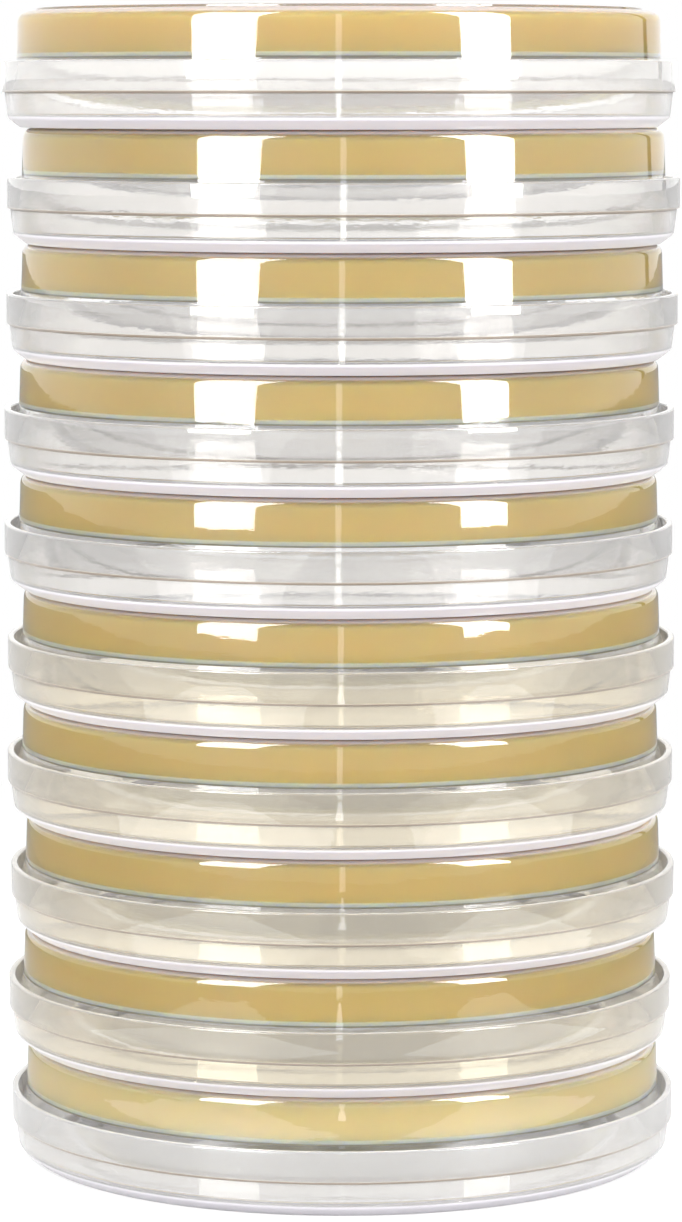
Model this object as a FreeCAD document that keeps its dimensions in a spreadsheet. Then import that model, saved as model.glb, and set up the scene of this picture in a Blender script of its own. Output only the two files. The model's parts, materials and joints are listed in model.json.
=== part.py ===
"""A stack of ten vented petri dishes, each turned upside down: the lid lies underneath and the
base stands in it, mouth down, with a layer of agar under its plate.

Millimetres, +Z up. The origin is on the surface that the stack stands on, on the stack's axis.
Every size is a cell of the spreadsheet Sizes, and every sketch and feature is bound to it.
"""

import FreeCAD, Part
import Sketcher
import math
import os

DRIVING_SIZES = {
    "lid_radius": 46.0,  # outer radius of the lid at its open rim
    "lid_height": 9.0,  # from the stacking ring's foot to the rim
    "lid_step_height": 4.8,  # where the skirt steps out
    "lid_step_depth": 0.4,
    "lid_corner_radius": 45.2,  # outer radius where the skirt meets the sloping corner
    "lid_corner_height": 1.3,
    "lid_mouth_radius": 45.15,  # inner radius at the rim
    "lid_floor_radius": 44.6,  # inner radius at the plate
    "lid_ring_inner": 42.5,  # stacking ring under the lid's plate
    "lid_ring_outer": 43.5,
    "lid_ring_height": 0.45,
    "plate_thickness": 1.0,  # of the lid's plate and of the base's
    "cam_count": 4,  # vent cams, which hold the base's rim off the lid
    "cam_height": 0.35,
    "cam_width": 1.2,
    "cam_length": 2.4,
    "base_height": 13.92,  # from the rim to the outer face of the plate
    "base_plate_radius": 43.75,  # outer radius at the plate, before its corner is rounded
    "base_rim_radius": 44.25,
    "base_wall": 1.0,
    "foot_ring_inner": 40.4,  # ring on the base's plate, which centres the dish above
    "foot_ring_outer": 41.4,
    "foot_ring_height": 0.35,
    "agar_depth": 4.7,
    "agar_gap": 0.15,  # between the agar and the wall beside it
    "plate_round": 1.4,  # outer corner of the base
    "corner_round": 0.9,  # sloping corner of the lid
    "inner_round": 0.5,
    "edge_round": 0.2,
}

# Where the dishes lie in the stack, bottom dish first: how far each one was set down from the
# stack's axis along X, in millimetres, and how far its lid's vent cams are turned, in degrees.
SHIFTS = (0.15, -0.2, 0.2, -0.15, 0.0, -0.35, -0.25, 0.15, 0.35, -0.3)
TURNS = (20, 65, 38, 8, 74, 52, 27, 0, 48, 48)

# Heights above the foot of a dish's own lid, as formulas of the sheet's cells.
LID_FLOOR = "Sizes.lid_ring_height + Sizes.plate_thickness"
BASE_RIM = f"{LID_FLOOR} + Sizes.cam_height"
STACK_PITCH = f"{BASE_RIM} + Sizes.base_height"
BASE_FLOOR = f"{STACK_PITCH} - Sizes.plate_thickness"
AGAR_FACE = f"{BASE_FLOOR} - Sizes.agar_depth"
BASE_DRAFT = "(Sizes.base_rim_radius - Sizes.base_plate_radius) / Sizes.base_height"
AGAR_RADIUS = "Sizes.base_plate_radius - Sizes.base_wall - Sizes.agar_gap"


def make_sheet(doc):
    """Writes the driving sizes to a spreadsheet, one named cell for each."""
    sheet = doc.addObject("Spreadsheet::Sheet", "Sizes")
    for row, (name, value) in enumerate(DRIVING_SIZES.items(), start=1):
        sheet.set(f"A{row}", name)
        sheet.set(f"B{row}", str(value))
        sheet.setAlias(f"B{row}", name)
    doc.recompute()
    return sheet


def evaluate(sheet, formula):
    """The value of a formula of the sheet's cells, in millimetres."""
    value = sheet.evalExpression(formula)
    return float(getattr(value, "Value", value))


def origin_feature(body, role):
    """One of a body's own origin planes or axes."""
    return next(item for item in body.Origin.OriginFeatures if item.Role == role)


def make_body(doc, label):
    """An empty body."""
    body = doc.addObject("PartDesign::Body", label)
    body.Label = label
    return body


def make_outline(body, sheet, name, role, corners):
    """A closed sketch of straight lines, each corner held by two formulas of the sheet."""
    sketch = body.newObject("Sketcher::SketchObject", name)
    sketch.AttachmentSupport = (origin_feature(body, role), [""])
    sketch.MapMode = "FlatFace"
    points = [FreeCAD.Vector(*(evaluate(sheet, formula) for formula in corner), 0) for corner in corners]
    for start, end in zip(points, points[1:] + points[:1]):
        sketch.addGeometry(Part.LineSegment(start, end), False)
    for line in range(len(corners)):
        following = (line + 1) % len(corners)
        sketch.addConstraint(Sketcher.Constraint("Coincident", line, 2, following, 1))
    for line, corner in enumerate(corners):
        for direction, formula in zip(("DistanceX", "DistanceY"), corner):
            hold_point(sketch, sheet, line, direction, formula)
    return sketch


def hold_point(sketch, sheet, line, direction, formula):
    """Sets one coordinate of a line's start point to a formula."""
    value = evaluate(sheet, formula)
    if abs(value) < 1e-9:
        axis = {"DistanceX": -2, "DistanceY": -1}[direction]
        sketch.addConstraint(Sketcher.Constraint("PointOnObject", line, 1, axis))
        return
    index = sketch.addConstraint(Sketcher.Constraint(direction, -1, 1, line, 1, value))
    sketch.setExpression(f"Constraints[{index}]", formula)


def revolve(body, sketch, name):
    """Turns a half-profile in the XZ plane once about the Z axis."""
    feature = body.newObject("PartDesign::Revolution", name)
    feature.Profile = sketch
    feature.ReferenceAxis = (sketch, ["V_Axis"])
    feature.Angle = 360
    body.Tip = feature
    return feature


def circles_at(feature, sheet, corners):
    """Names of the feature's round edges that pass through the given corners of its profile."""
    wanted = [tuple(evaluate(sheet, formula) for formula in corner) for corner in corners]
    names = []
    for number, edge in enumerate(feature.Shape.Edges, start=1):
        if not isinstance(edge.Curve, Part.Circle):
            continue
        ring = (edge.Curve.Radius, edge.Curve.Center.z)
        if any(math.dist(ring, corner) < 1e-3 for corner in wanted):
            names.append(f"Edge{number}")
    if len(names) != len(corners):
        raise RuntimeError(f"{feature.Label}: {len(names)} of {len(corners)} edges found")
    return names


def round_edges(body, sheet, name, radius, corners):
    """Rounds the tip's circular edges at the given corners of the profile."""
    previous = body.Tip
    fillet = body.newObject("PartDesign::Fillet", name)
    fillet.Base = (previous, circles_at(previous, sheet, corners))
    fillet.setExpression("Radius", f"Sizes.{radius}")
    body.Tip = fillet
    body.Document.recompute()


def lid_profile():
    """Corners of the lid's half-profile: a shallow cup, mouth up, standing on its stacking ring."""
    return {
        "middle_under": ("0", "Sizes.lid_ring_height"),
        "ring_root": ("Sizes.lid_ring_inner", "Sizes.lid_ring_height"),
        "ring_inner_foot": ("Sizes.lid_ring_inner", "0"),
        "ring_outer_foot": ("Sizes.lid_ring_outer", "0"),
        "corner": ("Sizes.lid_corner_radius", "Sizes.lid_corner_height"),
        "step_inner": ("Sizes.lid_radius - Sizes.lid_step_depth", "Sizes.lid_step_height"),
        "step_outer": ("Sizes.lid_radius", "Sizes.lid_step_height"),
        "rim_outer": ("Sizes.lid_radius", "Sizes.lid_height"),
        "rim_inner": ("Sizes.lid_mouth_radius", "Sizes.lid_height"),
        "floor_edge": ("Sizes.lid_floor_radius", LID_FLOOR),
        "middle_over": ("0", LID_FLOOR),
    }


def add_vent_cams(body, sheet):
    """Low radial ribs on the lid's floor beside the skirt, in equal steps round the axis."""
    far = "Sizes.lid_floor_radius"
    near = "Sizes.lid_floor_radius - Sizes.cam_length"
    side = "Sizes.cam_width / 2"
    corners = ((near, f"-{side}"), (far, f"-{side}"), (far, side), (near, side))
    sketch = make_outline(body, sheet, "CamOutline", "XY_Plane", corners)
    sketch.setExpression("AttachmentOffset.Base.z", "Sizes.lid_ring_height + Sizes.plate_thickness / 2")
    cam = body.newObject("PartDesign::Pad", "Cam")
    cam.Profile = sketch
    cam.setExpression("Length", "Sizes.plate_thickness / 2 + Sizes.cam_height")
    body.Tip = cam
    body.Document.recompute()
    pattern = body.newObject("PartDesign::PolarPattern", "Cams")
    pattern.Originals = [cam]
    pattern.Axis = (origin_feature(body, "Z_Axis"), [""])
    pattern.Angle = 360
    pattern.setExpression("Occurrences", "Sizes.cam_count")
    body.Tip = pattern


def make_lid(doc, sheet, label):
    """Lid: plate, stacking ring, stepped skirt and vent cams, moulded in one."""
    body = make_body(doc, label)
    corner = lid_profile()
    sketch = make_outline(body, sheet, "LidOutline", "XZ_Plane", tuple(corner.values()))
    revolve(body, sketch, "LidCup")
    doc.recompute()
    round_edges(body, sheet, "CornerRound", "corner_round", [corner["corner"]])
    round_edges(body, sheet, "InnerRound", "inner_round", [corner["floor_edge"]])
    round_edges(body, sheet, "RimRound", "edge_round", [corner["rim_outer"], corner["rim_inner"]])
    add_vent_cams(body, sheet)
    return body


def base_profile():
    """Corners of the base's half-profile: a cup, mouth down, with a ring on its plate."""
    return {
        "middle_over": ("0", STACK_PITCH),
        "ring_inner_root": ("Sizes.foot_ring_inner", STACK_PITCH),
        "ring_inner_top": ("Sizes.foot_ring_inner", f"{STACK_PITCH} + Sizes.foot_ring_height"),
        "ring_outer_top": ("Sizes.foot_ring_outer", f"{STACK_PITCH} + Sizes.foot_ring_height"),
        "ring_outer_root": ("Sizes.foot_ring_outer", STACK_PITCH),
        "plate_corner": ("Sizes.base_plate_radius", STACK_PITCH),
        "rim_outer": ("Sizes.base_rim_radius", BASE_RIM),
        "rim_inner": ("Sizes.base_rim_radius - Sizes.base_wall", BASE_RIM),
        "floor_edge": (
            f"Sizes.base_plate_radius - Sizes.base_wall + {BASE_DRAFT} * Sizes.plate_thickness",
            BASE_FLOOR,
        ),
        "middle_under": ("0", BASE_FLOOR),
    }


def make_base(doc, sheet, label):
    """Base: plate, wall and foot ring, moulded in one and lying upside down."""
    body = make_body(doc, label)
    corner = base_profile()
    sketch = make_outline(body, sheet, "BaseOutline", "XZ_Plane", tuple(corner.values()))
    revolve(body, sketch, "BaseCup")
    doc.recompute()
    round_edges(body, sheet, "PlateRound", "plate_round", [corner["plate_corner"]])
    round_edges(body, sheet, "InnerRound", "inner_round", [corner["floor_edge"]])
    round_edges(body, sheet, "RimRound", "edge_round", [corner["rim_outer"], corner["rim_inner"]])
    return body


def make_agar(doc, sheet, label):
    """Agar: a disc of gel against the base's plate, drafted like the wall beside it."""
    body = make_body(doc, label)
    top_edge = (f"{AGAR_RADIUS} + {BASE_DRAFT} * Sizes.plate_thickness", BASE_FLOOR)
    depth_to_face = "(Sizes.plate_thickness + Sizes.agar_depth)"
    face_edge = (f"{AGAR_RADIUS} + {BASE_DRAFT} * {depth_to_face}", AGAR_FACE)
    corners = (("0", AGAR_FACE), face_edge, top_edge, ("0", BASE_FLOOR))
    sketch = make_outline(body, sheet, "AgarOutline", "XZ_Plane", corners)
    revolve(body, sketch, "AgarDisc")
    doc.recompute()
    round_edges(body, sheet, "TopRound", "inner_round", [top_edge])
    return body


def place(body, level, shift, turn=0):
    """Sets a piece at its dish's place in the stack, level 0 being the bottom dish."""
    rotation = FreeCAD.Rotation(FreeCAD.Vector(0, 0, 1), turn)
    body.Placement = FreeCAD.Placement(FreeCAD.Vector(shift, 0, 0), rotation)
    body.setExpression("Placement.Base.z", f"{level} * ({STACK_PITCH})")


def make_stack(doc, sheet):
    """All the dishes, bottom first."""
    pieces = []
    for level, (shift, turn) in enumerate(zip(SHIFTS, TURNS)):
        dish = f"dish_{level + 1:02d}"
        lid = make_lid(doc, sheet, f"{dish}_lid")
        place(lid, level, shift, turn)
        pieces.append(lid)
        for make, name in ((make_base, "base"), (make_agar, "agar")):
            piece = make(doc, sheet, f"{dish}_{name}")
            place(piece, level, shift)
            pieces.append(piece)
    return pieces


def check(doc, pieces):
    """Stops if an object failed to recompute or a piece has no valid single solid."""
    for item in doc.Objects:
        if {"Invalid", "Error"} & set(item.State):
            raise RuntimeError(f"{item.Label} failed: {item.State}")
    for piece in pieces:
        shape = piece.Shape
        if shape.isNull() or not shape.isValid() or len(shape.Solids) != 1:
            raise RuntimeError(f"{piece.Label} is not one valid solid")


def main():
    doc = FreeCAD.newDocument("PetriDishes")
    sheet = make_sheet(doc)
    pieces = make_stack(doc, sheet)
    doc.recompute()
    check(doc, pieces)
    os.makedirs("parts", exist_ok=True)
    for piece in pieces:
        piece.Shape.exportStep(f"parts/{piece.Label}.step")
        print(f"{piece.Label}: {piece.Shape.Volume / 1000:.2f} cm3, z {piece.Shape.BoundBox.ZMin:.2f}"
              f" to {piece.Shape.BoundBox.ZMax:.2f}")


main()
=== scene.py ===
"""A stack of ten petri dishes, each upside down on its lid with amber agar in its base.

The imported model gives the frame. Every clear moulding and every layer of gel is turned here as a
smooth lathed mesh that stands for its CAD node and rides on the same body.
"""

import json
import math

import bmesh
import bpy
from mathutils import Matrix, Vector

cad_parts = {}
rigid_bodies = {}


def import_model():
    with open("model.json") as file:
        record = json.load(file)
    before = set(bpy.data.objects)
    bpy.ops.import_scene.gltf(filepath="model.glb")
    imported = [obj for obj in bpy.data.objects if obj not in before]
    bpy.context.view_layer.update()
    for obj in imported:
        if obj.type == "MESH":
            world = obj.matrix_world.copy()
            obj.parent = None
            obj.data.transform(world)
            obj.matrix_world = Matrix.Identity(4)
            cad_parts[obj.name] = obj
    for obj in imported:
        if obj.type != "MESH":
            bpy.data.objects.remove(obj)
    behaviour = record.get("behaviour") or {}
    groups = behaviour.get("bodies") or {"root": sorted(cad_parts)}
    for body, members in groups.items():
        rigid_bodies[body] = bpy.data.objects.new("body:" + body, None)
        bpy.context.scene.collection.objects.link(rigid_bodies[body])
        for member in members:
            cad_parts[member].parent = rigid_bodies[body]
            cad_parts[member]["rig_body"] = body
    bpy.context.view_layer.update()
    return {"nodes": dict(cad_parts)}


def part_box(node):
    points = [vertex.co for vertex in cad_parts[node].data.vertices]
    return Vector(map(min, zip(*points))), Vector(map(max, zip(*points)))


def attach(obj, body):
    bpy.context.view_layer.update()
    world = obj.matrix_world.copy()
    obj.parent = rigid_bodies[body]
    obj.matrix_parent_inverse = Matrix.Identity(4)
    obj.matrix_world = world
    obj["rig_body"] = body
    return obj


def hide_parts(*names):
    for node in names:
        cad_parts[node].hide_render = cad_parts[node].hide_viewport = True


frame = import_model()

MM = 0.001
DISHES = 10
SEGMENTS = 160  # steps round a lathed piece
ARC_STEPS = 6  # steps in a rounded corner
SHARP_ANGLE = math.radians(35)  # edges that turn more than this are drawn sharp

# A dish's own sizes in millimetres, heights above the foot of its lid.
PLATE = 1.0  # thickness of the lid's plate and of the base's
LID_RADIUS = 46.0
LID_HEIGHT = 9.0
LID_MOUTH_RADIUS = 45.15  # inside, at the rim
LID_FLOOR_RADIUS = 44.6  # inside, at the plate
LID_CORNER = (45.2, 1.3)  # radius and height where the wall meets the sloping corner
LID_UNDERSIDE = 0.45
LID_RING_ROOT = 42.5  # the stacking ring under the lid's plate
LID_RING_FOOT = (42.6, 43.5)
LID_FLOOR = LID_UNDERSIDE + PLATE
STEP = 4.8  # the shoulder half way up the lid's wall
STEP_DEPTH = 0.4
CAM_COUNT = 4
CAM_SIZE = (2.6, 1.2, 0.6)  # length, width and height of a vent cam
CAM_RADIUS = 43.5  # from the axis to a cam's middle
CAM_ROUND = 0.12
BASE_RIM = 1.8  # also the top of the vent cams, which it stands on
PITCH = 15.72
BASE_FLOOR = PITCH - PLATE
BASE_PLATE_RADIUS = 43.75
BASE_RIM_RADIUS = 44.25
BASE_WALL = 1.0
BASE_DRAFT = (BASE_RIM_RADIUS - BASE_PLATE_RADIUS) / (PITCH - BASE_RIM)
FOOT_RING_ROOT = (40.4, 41.4)  # the ring on the base's plate
FOOT_RING_TOP = (40.5, 41.3)
FOOT_RING_HEIGHT = 0.35
GATE_TOP_RADIUS = 1.0  # the gate mark in the middle of a plate
GATE_FOOT_RADIUS = 1.25
LID_GATE_HEIGHT = 0.15
BASE_GATE_HEIGHT = 0.1
AGAR_DEPTH = 4.7
AGAR_FACE = BASE_FLOOR - AGAR_DEPTH
MENISCUS_DEPTH = 0.8  # how far the gel runs along the wall
MENISCUS_WIDTH = 3.2
MENISCUS_STEPS = 8
MENISCUS_FALL = 3  # how fast the meniscus flattens out, over its width
AGAR_LIP = AGAR_FACE - MENISCUS_DEPTH
GEL_BITE = 0.03  # the gel overlaps the plastic that it sticks to
CLEARANCE = 0.012  # keeps the faces of two stacked pieces from lying in one plane

LID_TURNS = (20, 65, 38, 8, 74, 52, 27, 0, 48, 48)  # of each lid's cams in degrees, from the bottom

NOISE_RANGE = (0.3, 0.7)  # the part of a noise's range that most of it lies in

# Plastic. Lengths are in millimetres.
POLYSTYRENE_IOR = 1.59
POLYSTYRENE_ROUGHNESS = (0.015, 0.05)
FLOW_SIZE = 6  # of the patches in its flow marks
FLOW_STRETCH = (1, 1, 2.5)
POLYSTYRENE_TINT = (0.52, 0.37, 0.58)
POLYSTYRENE_DENSITY = 4.0
GLOSS = 0.5
LID_GLOSS = 0.8
PLATE_GLOSS = 0.2  # low, so that light gets through plates seen at a low angle
LID_SHEEN = 0.4
CLEAR = (0.985, 0.98, 0.975)
HAZE = (0.98, 0.968, 0.95)
# painted light: the amber light that lids low in the stack get from the gel, painted into their haze
PAINTED_GEL_LIGHT = (0.97, 0.915, 0.79)
# painted light: a milky mauve on a plate's thick edge stands in for light refracted and reflected there
PAINTED_EDGE_MAUVE = (0.63, 0.60, 0.66)
# painted shade: a dark brown line along the lid's step stands in for the shadow under the shoulder and
# the amber refracted through it
STEP_SHADE = (0.20, 0.155, 0.11)
STEP_SHADE_CLARITY = 0.15
STEP_SHADE_REACH = (0.15, 0.25)  # heights above and below the step where the painted shade line starts to fade, and ends
STEP_SHADE_RADII = (45.2, 45.35)
EDGE_START = 41.0  # radius where the painted milky edge of a plate begins
LID_EDGE = (LID_FLOOR + 0.3, LID_FLOOR - 0.2)  # heights between which the painted milky edge comes in on a lid
BASE_EDGE = (BASE_FLOOR + 0.2, BASE_FLOOR + 0.7)
LID_EDGE_CLARITY = 0.25
LID_PLATE_CLARITY = 0.95
BASE_CLARITY = 0.98
BASE_EDGE_CLARITY = 0.75
LID_FINISHES = {  # how clear a lid is, and the tint of its haze; the amber tint on the lower lids is painted light from the gel
    "clear": (0.93, HAZE),
    # painted light: the gel's amber light painted into the haze of the lower lids
    "amber_lit": (0.92, PAINTED_GEL_LIGHT),
    # painted light: a milkier copy of the lid plastic that makes the top and bottom lids lighter
    "lightened": (0.86, HAZE),
}
# the bottom and top lids get the painted lightening, and the four above the bottom the painted amber
# light
LIDS = ("lightened", *("amber_lit",) * 4, *("clear",) * 4, "lightened")  # from the bottom

# Gel. Lengths are in millimetres.
AGAR_IOR = 1.34
AGAR_GLOSS = 0.25
AGAR_CLARITY = 0.12
AGAR_TINT = (0.876, 0.72, 0.196)
AGAR_DENSITY = 60.0
AGAR_SCATTER = (1.0, 0.75, 0.3)  # how far red, green and blue travel, as parts of the scatter depth
AGAR_SCATTER_DEPTH = 7
AGAR_ROUGHNESS = (0.18, 0.26)  # above about 0.27 the denoiser leaves blotches
CLOUD_SIZE = 9  # of the patches of lighter and darker gel
GRAIN_SIZE = 1.5
AMBER = ((0.58, 0.42, 0.12), (0.54, 0.375, 0.095))  # where the gel is lighter and darker
PALE_AMBER = ((0.72, 0.56, 0.25), (0.69, 0.53, 0.22))
# painted light: a pale line for the brighter thin film of the meniscus
MENISCUS_PAINTED_LIGHT = (1.0, 0.86, 0.5)
MENISCUS_LIGHT_END = (0.6, 0.85)  # heights over the lip between which its colour gives way to the gel's
# painted shadow: a dark line along the gel's lip on the wall
LIP_PAINTED_SHADOW = (0.5, 0.36, 0.14)
LIP_SHADOW_END = (0.15, 0.3)

# Stage, in metres and degrees. Azimuth 0 is the camera's side.
CAMERA_PLACE = (0, -0.6467, 0.1465)
CAMERA_DROP = 6.32  # how far the camera looks down
CAMERA_LENS = 138.5
CAMERA_SENSOR = 36
CAMERA_CLIP = (0.01, 50)
FLOOR_SIZE = 20
FLOOR_GREY = (0.36, 0.36, 0.36)
FLOOR_ROUGHNESS = 0.6
FLOOR_FADE = (0.06, 0.35)  # distances from the stack between which the floor turns white
FLOOR_GLOW = (0, 0.55)  # of the near floor in light, and as the camera sees it
FAR_FLOOR_GLOW = (0.4, 1)
ROOM_LIGHT = ((0.0, 0.85), (0.35, 1.05), (0.6, 1.4), (1.0, 1.15))  # from the camera's side to the back
FLAG_LEFT = (0.64, 0.66)  # radians round the stack, from behind it towards the right
FLAG_RIGHT = (0.73, 0.71)
FLAG_COLOR = (0.05, 0.05, 0.06)
FLOOR_GLOW_HEIGHT = 0.002
WHITE = (1, 1, 1)
BOUNCES = 36  # light crosses many thin walls before it leaves the stack
DIFFUSE_BOUNCES = 3
NOISE_THRESHOLD = 0.04


# ---------------------------------------------------------------- lathed meshes


def rounded(outline):
    """The points of an outline whose corners are (radius, height, rounding)."""
    points = []
    for index, (r, z, rounding) in enumerate(outline):
        here = Vector((r, z))
        if rounding <= 0:
            points.append(here)
            continue
        before = (Vector(outline[index - 1][:2]) - here).normalized()
        after = (Vector(outline[(index + 1) % len(outline)][:2]) - here).normalized()
        half = before.angle(after) / 2
        centre = here + (before + after).normalized() * rounding / math.sin(half)
        start = here + before * rounding / math.tan(half) - centre
        end = here + after * rounding / math.tan(half) - centre
        first = math.atan2(start.y, start.x)
        sweep = math.remainder(math.atan2(end.y, end.x) - first, 2 * math.pi)
        for step in range(ARC_STEPS + 1):
            angle = first + sweep * step / ARC_STEPS
            points.append(centre + rounding * Vector((math.cos(angle), math.sin(angle))))
    return points


def ring_of(mesh, point):
    """The vertices that a point of the half-profile sweeps round the axis."""
    ring = []
    for step in range(SEGMENTS):
        angle = 2 * math.pi * step / SEGMENTS
        across = Vector((math.cos(angle), math.sin(angle))) * point.x * MM
        ring.append(mesh.verts.new((across.x, across.y, point.y * MM)))
    return ring


def lathe(name, outline):
    """A closed mesh of revolution from a half-profile whose first and last points are on the axis."""
    mesh = bmesh.new()
    points = rounded(outline)
    first = mesh.verts.new((0, 0, points[0].y * MM))
    last = mesh.verts.new((0, 0, points[-1].y * MM))
    rings = [ring_of(mesh, point) for point in points[1:-1]]
    for step in range(SEGMENTS):
        following = (step + 1) % SEGMENTS
        mesh.faces.new((first, rings[0][following], rings[0][step]))
        mesh.faces.new((last, rings[-1][step], rings[-1][following]))
        for inner, outer in zip(rings, rings[1:]):
            mesh.faces.new((inner[step], inner[following], outer[following], outer[step]))
    bmesh.ops.recalc_face_normals(mesh, faces=mesh.faces)
    return to_object(name, mesh)


def smooth(data):
    """Shades a mesh smooth but for its sharp edges."""
    for polygon in data.polygons:
        polygon.use_smooth = True
    data.set_sharp_from_angle(angle=SHARP_ANGLE)


def to_object(name, mesh):
    """Links a bmesh as a smooth object."""
    data = bpy.data.meshes.new(name)
    mesh.to_mesh(data)
    mesh.free()
    smooth(data)
    obj = bpy.data.objects.new(name, data)
    bpy.context.scene.collection.objects.link(obj)
    return obj


def place(obj, node, level, turn=0):
    """Moves a piece from its dish's own frame to its node's place, and joins it to the body."""
    low, high = (Vector(corner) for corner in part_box(node))
    centre = (low + high) / 2
    obj.data.transform(Matrix.Rotation(math.radians(turn), 4, "Z"))
    obj.location = (centre.x, centre.y, level * PITCH * MM)
    bpy.context.view_layer.update()
    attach(obj, frame["nodes"][node]["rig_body"])
    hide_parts(node)


# ---------------------------------------------------------------- pieces


def lid_outline():
    """The lid's half-profile: mouth up, on its stacking ring."""
    gate = LID_UNDERSIDE - LID_GATE_HEIGHT
    return (
        (0, gate, 0),
        (GATE_TOP_RADIUS, gate, 0.05),
        (GATE_FOOT_RADIUS, LID_UNDERSIDE, 0.1),
        (LID_RING_ROOT, LID_UNDERSIDE, 0.12),
        (LID_RING_FOOT[0], CLEARANCE, 0.1),
        (LID_RING_FOOT[1], CLEARANCE, 0.3),
        (*LID_CORNER, 0.9),
        (LID_RADIUS - STEP_DEPTH, STEP, 0.1),
        (LID_RADIUS, STEP, 0.12),
        (LID_RADIUS, LID_HEIGHT, 0.25),
        (LID_MOUTH_RADIUS, LID_HEIGHT, 0.25),
        (LID_FLOOR_RADIUS, LID_FLOOR, 0.5),
        (0, LID_FLOOR, 0),
    )


def base_outline():
    """The base's half-profile: mouth down, with the foot ring on its plate."""
    gate = PITCH + BASE_GATE_HEIGHT
    ring = PITCH + FOOT_RING_HEIGHT
    rim = BASE_RIM + CLEARANCE
    inner = BASE_PLATE_RADIUS - BASE_WALL + BASE_DRAFT * PLATE
    return (
        (0, gate, 0),
        (GATE_TOP_RADIUS, gate, 0.04),
        (GATE_FOOT_RADIUS, PITCH, 0.05),
        (FOOT_RING_ROOT[0], PITCH, 0.1),
        (FOOT_RING_TOP[0], ring, 0.1),
        (FOOT_RING_TOP[1], ring, 0.1),
        (FOOT_RING_ROOT[1], PITCH, 0.1),
        (BASE_PLATE_RADIUS, PITCH, 1.4),
        (BASE_RIM_RADIUS, rim, 0.25),
        (BASE_RIM_RADIUS - BASE_WALL, rim, 0.25),
        (inner, BASE_FLOOR, 0.5),
        (0, BASE_FLOOR, 0),
    )


def agar_outline():
    """The gel's half-profile: flat against the plate, with a meniscus along the wall."""
    wall = BASE_PLATE_RADIUS - BASE_WALL + GEL_BITE
    top = BASE_FLOOR + GEL_BITE
    meniscus = []
    for step in range(MENISCUS_STEPS + 1):
        inward = step / MENISCUS_STEPS
        height = AGAR_FACE - MENISCUS_DEPTH * math.exp(-MENISCUS_FALL * inward)
        radius = wall + BASE_DRAFT * (PITCH - height) - MENISCUS_WIDTH * inward
        meniscus.append((radius, height, 0))
    return (
        (0, top, 0),
        (wall + BASE_DRAFT * PLATE, top, 0.5),
        *meniscus,
        (0, AGAR_FACE, 0),
    )


def add_cams(lid):
    """Vent cams on the lid's floor, joined to the lid's mesh."""
    mesh = bmesh.new()
    mesh.from_mesh(lid.data)
    size = Matrix.Diagonal((*(side * MM for side in CAM_SIZE), 1))
    middle = Matrix.Translation((CAM_RADIUS * MM, 0, (BASE_RIM - CAM_SIZE[2] / 2) * MM))
    for number in range(CAM_COUNT):
        turn = Matrix.Rotation(2 * math.pi * number / CAM_COUNT, 4, "Z")
        made = bmesh.ops.create_cube(mesh, size=1, matrix=turn @ middle @ size)
        edges = {edge for vert in made["verts"] for edge in vert.link_edges}
        bmesh.ops.bevel(
            mesh, geom=list(edges), offset=CAM_ROUND * MM, segments=2, affect="EDGES", profile=0.5
        )
    mesh.to_mesh(lid.data)
    mesh.free()
    smooth(lid.data)


# ---------------------------------------------------------------- shader nodes


def new_material(name):
    """A material with one Principled node, and its node tree."""
    material = bpy.data.materials.new(name)
    material.use_nodes = True
    tree = material.node_tree
    return material, tree, tree.nodes["Principled BSDF"]


def add_absorption(tree, color, density):
    """Tints light by how far it travels inside the piece."""
    volume = tree.nodes.new("ShaderNodeVolumeAbsorption")
    volume.inputs["Color"].default_value = (*color, 1)
    volume.inputs["Density"].default_value = density
    tree.links.new(volume.outputs["Volume"], tree.nodes["Material Output"].inputs["Volume"])


def own_place(tree):
    """A point of the piece in its own frame, where z is the height above the dish's foot."""
    return tree.nodes.new("ShaderNodeTexCoord").outputs["Object"]


def part_of(tree, vector, name):
    """One coordinate of a vector."""
    split = tree.nodes.new("ShaderNodeSeparateXYZ")
    tree.links.new(vector, split.inputs["Vector"])
    return split.outputs[name]


def stretched(tree, vector, factors):
    """A vector with each coordinate multiplied by its own factor."""
    node = tree.nodes.new("ShaderNodeVectorMath")
    node.operation = "MULTIPLY"
    node.inputs[1].default_value = factors
    tree.links.new(vector, node.inputs[0])
    return node.outputs["Vector"]


def axis_distance(tree):
    """How far a point of the piece is from its axis."""
    length = tree.nodes.new("ShaderNodeVectorMath")
    length.operation = "LENGTH"
    tree.links.new(stretched(tree, own_place(tree), (1, 1, 0)), length.inputs[0])
    return length.outputs["Value"]


def spread(tree, value, source, target=(0, 1)):
    """Maps a value from one range to another, with smooth ends."""
    node = tree.nodes.new("ShaderNodeMapRange")
    node.interpolation_type = "SMOOTHSTEP"
    node.inputs["From Min"].default_value, node.inputs["From Max"].default_value = source
    node.inputs["To Min"].default_value, node.inputs["To Max"].default_value = target
    tree.links.new(value, node.inputs["Value"])
    return node.outputs["Result"]


def calculate(tree, operation, first, second):
    """One arithmetic operation on two values."""
    node = tree.nodes.new("ShaderNodeMath")
    node.operation = operation
    tree.links.new(first, node.inputs[0])
    tree.links.new(second, node.inputs[1])
    return node.outputs["Value"]


def blend(tree, factor, first, second):
    """A colour between two others."""
    node = tree.nodes.new("ShaderNodeMix")
    node.data_type = "RGBA"
    tree.links.new(factor, node.inputs["Factor"])
    for socket, color in (("A", first), ("B", second)):
        if isinstance(color, tuple):
            node.inputs[socket].default_value = (*color, 1)
        else:
            tree.links.new(color, node.inputs[socket])
    return node.outputs["Result"]


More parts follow.
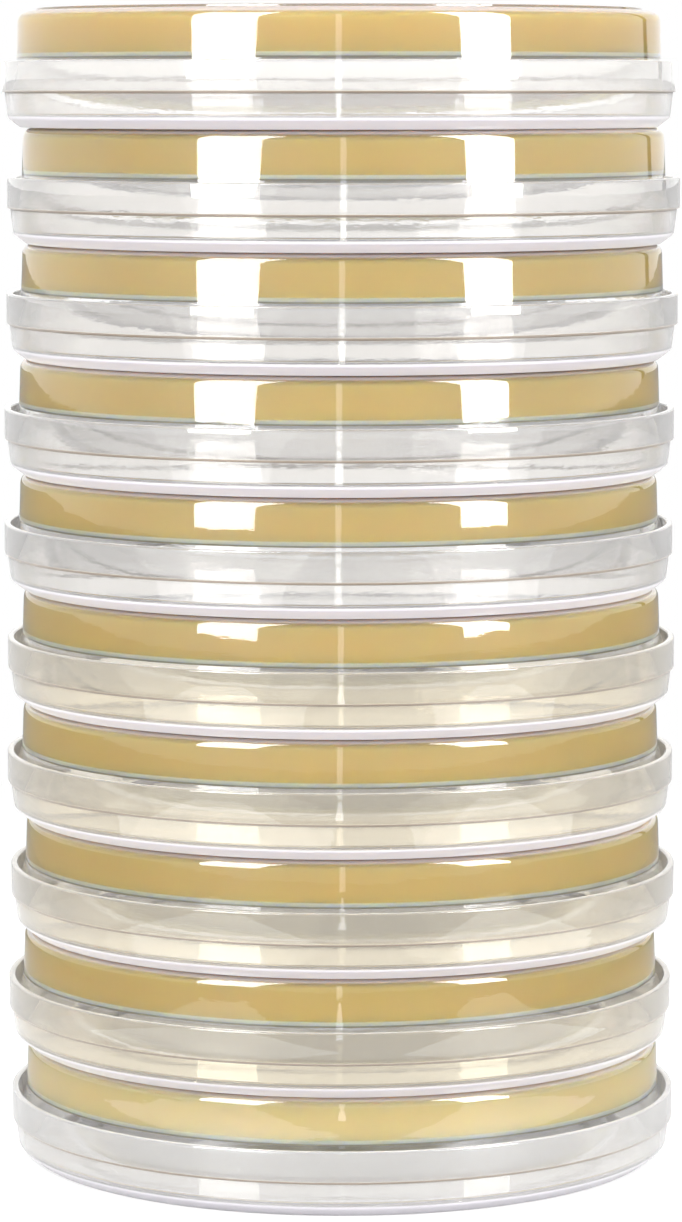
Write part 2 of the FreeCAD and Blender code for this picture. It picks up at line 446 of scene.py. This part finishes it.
def noise(tree, size, stretch=(1, 1, 1)):
    """Noise whose patches are about one size in millimetres."""
    node = tree.nodes.new("ShaderNodeTexNoise")
    node.inputs["Scale"].default_value = 1 / (size * MM)
    node.inputs["Detail"].default_value = 3
    tree.links.new(stretched(tree, own_place(tree), stretch), node.inputs["Vector"])
    return node.outputs["Fac"]


def add_bump(tree, shader, height, depth, strength):
    """Makes a surface uneven by a depth in millimetres."""
    node = tree.nodes.new("ShaderNodeBump")
    node.inputs["Distance"].default_value = depth * MM
    node.inputs["Strength"].default_value = strength
    tree.links.new(height, node.inputs["Height"])
    tree.links.new(node.outputs["Normal"], shader.inputs["Normal"])


# ---------------------------------------------------------------- materials


def painted_step_shade(tree):
    """1 along the shoulder in the lid's wall, where a shade line is painted."""
    height = part_of(tree, own_place(tree), "Z")
    full, end = STEP_SHADE_REACH
    inner, outer = STEP_SHADE_RADII
    below = spread(tree, height, ((STEP - end) * MM, (STEP - full) * MM))
    above = spread(tree, height, ((STEP + end) * MM, (STEP + full) * MM))
    outside = spread(tree, axis_distance(tree), (inner * MM, outer * MM))
    band = calculate(tree, "MULTIPLY", below, above)
    return calculate(tree, "MULTIPLY", band, outside)


def polystyrene(name, edge_heights, clarity, edge_clarity, color=CLEAR, gloss=GLOSS, stepped=False):
    """Clear moulded polystyrene, painted milky and mauve round the thick edge of its plate to stand in
    for the light refracted and reflected there.
    """
    material, tree, shader = new_material(name)
    low, high = edge_heights
    rim = spread(tree, axis_distance(tree), (EDGE_START * MM, (EDGE_START + 1) * MM))
    within = spread(tree, part_of(tree, own_place(tree), "Z"), (low * MM, high * MM))
    edge = calculate(tree, "MULTIPLY", rim, within)
    clear = spread(tree, edge, (0, 1), (clarity, edge_clarity))
    if stepped:
        shader.inputs["Sheen Weight"].default_value = LID_SHEEN
        # painted shade line along the step, in the colour and the clarity
        line = painted_step_shade(tree)
        color = blend(tree, line, color, STEP_SHADE)
        clear = calculate(tree, "MULTIPLY", clear, spread(tree, line, (0, 1), (1, STEP_SHADE_CLARITY)))
    flow = noise(tree, FLOW_SIZE, FLOW_STRETCH)
    # painted light on the plate's thick edge: the mauve and the lower clarity stand in for refracted and
    # reflected light
    tree.links.new(blend(tree, edge, color, PAINTED_EDGE_MAUVE), shader.inputs["Base Color"])
    tree.links.new(clear, shader.inputs["Transmission Weight"])
    tree.links.new(spread(tree, flow, NOISE_RANGE, POLYSTYRENE_ROUGHNESS), shader.inputs["Roughness"])
    shader.inputs["IOR"].default_value = POLYSTYRENE_IOR
    shader.inputs["Specular IOR Level"].default_value = gloss
    add_bump(tree, shader, flow, depth=0.05, strength=0.25)
    add_absorption(tree, POLYSTYRENE_TINT, POLYSTYRENE_DENSITY)
    return material


def agar(name, light, dark):
    """Wet amber gel, with a painted pale line for the light through its thin meniscus and a painted
    shadow line at its edge on the wall.
    """
    material, tree, shader = new_material(name)
    height = part_of(tree, own_place(tree), "Z")
    cloud = noise(tree, CLOUD_SIZE)
    past_meniscus_light = spread(tree, height, [(AGAR_LIP + over) * MM for over in MENISCUS_LIGHT_END])
    past_lip_shadow = spread(tree, height, [(AGAR_LIP + over) * MM for over in LIP_SHADOW_END])
    # painted light: the meniscus's pale line
    body = blend(tree, past_meniscus_light, MENISCUS_PAINTED_LIGHT, blend(tree, cloud, light, dark))
    # painted shadow: the dark line at the gel's lip
    tree.links.new(blend(tree, past_lip_shadow, LIP_PAINTED_SHADOW, body), shader.inputs["Base Color"])
    tree.links.new(spread(tree, cloud, NOISE_RANGE, AGAR_ROUGHNESS), shader.inputs["Roughness"])
    shader.inputs["Transmission Weight"].default_value = AGAR_CLARITY
    shader.inputs["Specular IOR Level"].default_value = AGAR_GLOSS
    shader.inputs["Subsurface Weight"].default_value = 1.0
    shader.inputs["Subsurface Radius"].default_value = AGAR_SCATTER
    shader.inputs["Subsurface Scale"].default_value = AGAR_SCATTER_DEPTH * MM
    shader.inputs["IOR"].default_value = AGAR_IOR
    add_bump(tree, shader, noise(tree, GRAIN_SIZE), depth=0.05, strength=0.3)
    add_absorption(tree, AGAR_TINT, AGAR_DENSITY)
    return material


def make_materials():
    """Every material of the dishes, by name."""
    made = {
        finish: polystyrene(
            f"{finish}_lid", LID_EDGE, clarity, LID_EDGE_CLARITY, haze, LID_GLOSS, stepped=True
        )
        for finish, (clarity, haze) in LID_FINISHES.items()
    }
    made["base"] = polystyrene("base_polystyrene", BASE_EDGE, BASE_CLARITY, BASE_EDGE_CLARITY)
    made["lid_plate"] = polystyrene(
        "lid_plate", LID_EDGE, LID_PLATE_CLARITY, LID_EDGE_CLARITY, HAZE, PLATE_GLOSS
    )
    made["base_plate"] = polystyrene(
        "base_plate", BASE_EDGE, BASE_CLARITY, BASE_EDGE_CLARITY, gloss=PLATE_GLOSS
    )
    made["gel"] = agar("amber_agar", *AMBER)
    made["pale_gel"] = agar("pale_agar", *PALE_AMBER)
    return made


# ---------------------------------------------------------------- stack


def dress(obj, plastic, plate):
    """Gives a moulding its plastic, and another finish on the middle of its plate."""
    obj.data.materials.append(plastic)
    obj.data.materials.append(plate)
    for polygon in obj.data.polygons:
        if polygon.center.xy.length < EDGE_START * MM:
            polygon.material_index = 1


def build_stack():
    """All the dishes, bottom first. The bottom one has the pale gel."""
    looks = make_materials()
    for level in range(DISHES):
        dish = f"dish_{level + 1:02d}"
        lid = lathe(f"{dish}_lid_moulding", lid_outline())
        add_cams(lid)
        dress(lid, looks[LIDS[level]], looks["lid_plate"])
        place(lid, f"{dish}_lid", level, LID_TURNS[level])
        base = lathe(f"{dish}_base_moulding", base_outline())
        dress(base, looks["base"], looks["base_plate"])
        place(base, f"{dish}_base", level)
        layer = lathe(f"{dish}_agar_gel", agar_outline())
        layer.data.materials.append(looks["gel"] if level else looks["pale_gel"])
        place(layer, f"{dish}_agar", level)


# ---------------------------------------------------------------- stage


def add_camera():
    """The camera, level with the top of the stack and looking slightly down."""
    camera = bpy.data.objects.new("camera", bpy.data.cameras.new("camera"))
    camera.data.lens = CAMERA_LENS
    camera.data.sensor_width = CAMERA_SENSOR
    camera.data.clip_start, camera.data.clip_end = CAMERA_CLIP
    camera.location = CAMERA_PLACE
    camera.rotation_euler = (math.radians(90 - CAMERA_DROP), 0, 0)
    bpy.context.scene.collection.objects.link(camera)
    bpy.context.scene.camera = camera


def seen_by_camera(tree):
    """1 for light that goes straight to the camera, and 0 for light that falls on something else."""
    return tree.nodes.new("ShaderNodeLightPath").outputs["Is Camera Ray"]


def add_floor():
    """A pale floor whose far part shines white, so that it has no horizon."""
    mesh = bmesh.new()
    bmesh.ops.create_grid(mesh, x_segments=1, y_segments=1, size=FLOOR_SIZE)
    floor = to_object("floor", mesh)
    material, tree, shader = new_material("pale_floor")
    seen = seen_by_camera(tree)
    shader.inputs["Base Color"].default_value = (*FLOOR_GREY, 1)
    shader.inputs["Roughness"].default_value = FLOOR_ROUGHNESS
    shader.inputs["Emission Color"].default_value = (*WHITE, 1)
    tree.links.new(spread(tree, seen, (0, 1), FLOOR_GLOW), shader.inputs["Emission Strength"])
    white = tree.nodes.new("ShaderNodeEmission")
    tree.links.new(spread(tree, seen, (0, 1), FAR_FLOOR_GLOW), white.inputs["Strength"])
    mix = tree.nodes.new("ShaderNodeMixShader")
    tree.links.new(spread(tree, axis_distance(tree), FLOOR_FADE), mix.inputs["Fac"])
    tree.links.new(shader.outputs["BSDF"], mix.inputs[1])
    tree.links.new(white.outputs["Emission"], mix.inputs[2])
    tree.links.new(mix.outputs["Shader"], tree.nodes["Material Output"].inputs["Surface"])
    floor.data.materials.append(material)


def new_area_light(name, size, power):
    """A rectangular light that the camera doesn't see."""
    light = bpy.data.lights.new(name, "AREA")
    light.shape = "RECTANGLE"
    light.size, light.size_y = size
    light.energy = power
    obj = bpy.data.objects.new(name, light)
    obj.visible_camera = False
    bpy.context.scene.collection.objects.link(obj)
    return obj


def add_softbox(name, azimuth, elevation, distance, size, power):
    """A soft light that looks at the stack's middle."""
    obj = new_area_light(name, size, power)
    a, e = math.radians(azimuth), math.radians(elevation)
    back = Vector((math.sin(a) * math.cos(e), -math.cos(a) * math.cos(e), math.sin(e)))
    obj.location = back * distance + Vector((0, 0, PITCH * DISHES / 2 * MM))
    obj.rotation_mode = "QUATERNION"
    obj.rotation_quaternion = back.to_track_quat("Z", "Y")


def add_floor_glow(name, azimuth, near, far, width, power):
    """A dim light on the floor, along a line from the stack, as a softbox's sheen on a table."""
    obj = new_area_light(name, (width, far - near), power)
    a, middle = math.radians(azimuth), (near + far) / 2
    obj.location = (math.sin(a) * middle, -math.cos(a) * middle, FLOOR_GLOW_HEIGHT)
    obj.rotation_euler = (math.pi, 0, a)


def room_light(tree, back):
    """The room's brightness as a colour, from how far a direction points to the back."""
    remap = tree.nodes.new("ShaderNodeMapRange")
    remap.inputs["From Min"].default_value = -1
    tree.links.new(back, remap.inputs["Value"])
    ramp = tree.nodes.new("ShaderNodeValToRGB")
    elements = ramp.color_ramp.elements
    while len(elements) < len(ROOM_LIGHT):
        elements.new(0.5)
    for element, (position, value) in zip(elements, ROOM_LIGHT):
        element.position = position
        element.color = (value, value, value, 1)
    tree.links.new(remap.outputs["Result"], ramp.inputs["Fac"])
    return ramp.outputs["Color"]


def add_world():
    """A pale room, white to the camera, with a narrow dark flag behind the stack on the right."""
    world = bpy.data.worlds.new("studio")
    bpy.context.scene.world = world
    world.use_nodes = True
    tree = world.node_tree
    direction = tree.nodes.new("ShaderNodeTexCoord").outputs["Generated"]
    back = part_of(tree, direction, "Y")
    turn = calculate(tree, "ARCTAN2", part_of(tree, direction, "X"), back)
    flag = calculate(
        tree, "MULTIPLY", spread(tree, turn, FLAG_LEFT), spread(tree, turn, FLAG_RIGHT)
    )
    room = blend(tree, flag, room_light(tree, back), FLAG_COLOR)
    shown = blend(tree, seen_by_camera(tree), room, WHITE)
    tree.links.new(shown, tree.nodes["Background"].inputs["Color"])


def set_view():
    """Plain colours, and enough bounces for light to get through the stack."""
    scene = bpy.context.scene
    scene.view_settings.view_transform = "Standard"
    scene.cycles.max_bounces = BOUNCES
    scene.cycles.transmission_bounces = BOUNCES
    scene.cycles.glossy_bounces = BOUNCES
    scene.cycles.diffuse_bounces = DIFFUSE_BOUNCES
    scene.cycles.adaptive_threshold = NOISE_THRESHOLD


build_stack()
add_camera()
add_floor()
add_softbox("left_softbox", azimuth=-40, elevation=26.7, distance=1.0, size=(0.42, 0.9), power=18)
add_softbox("right_softbox", azimuth=52, elevation=26.7, distance=1.0, size=(0.34, 0.9), power=18)
add_floor_glow("left_sheen", azimuth=-40, near=0.1, far=0.6, width=0.17, power=0.35)
add_floor_glow("right_sheen", azimuth=52, near=0.1, far=0.6, width=0.14, power=0.28)
add_floor_glow("middle_sheen", azimuth=0, near=0.25, far=0.9, width=0.012, power=0.1)
add_softbox("middle_strip", azimuth=0, elevation=10, distance=1.4, size=(0.05, 1.2), power=0.5)
add_softbox("top_softbox", azimuth=0, elevation=80, distance=1.2, size=(1.2, 1.2), power=3)
add_world()
set_view()
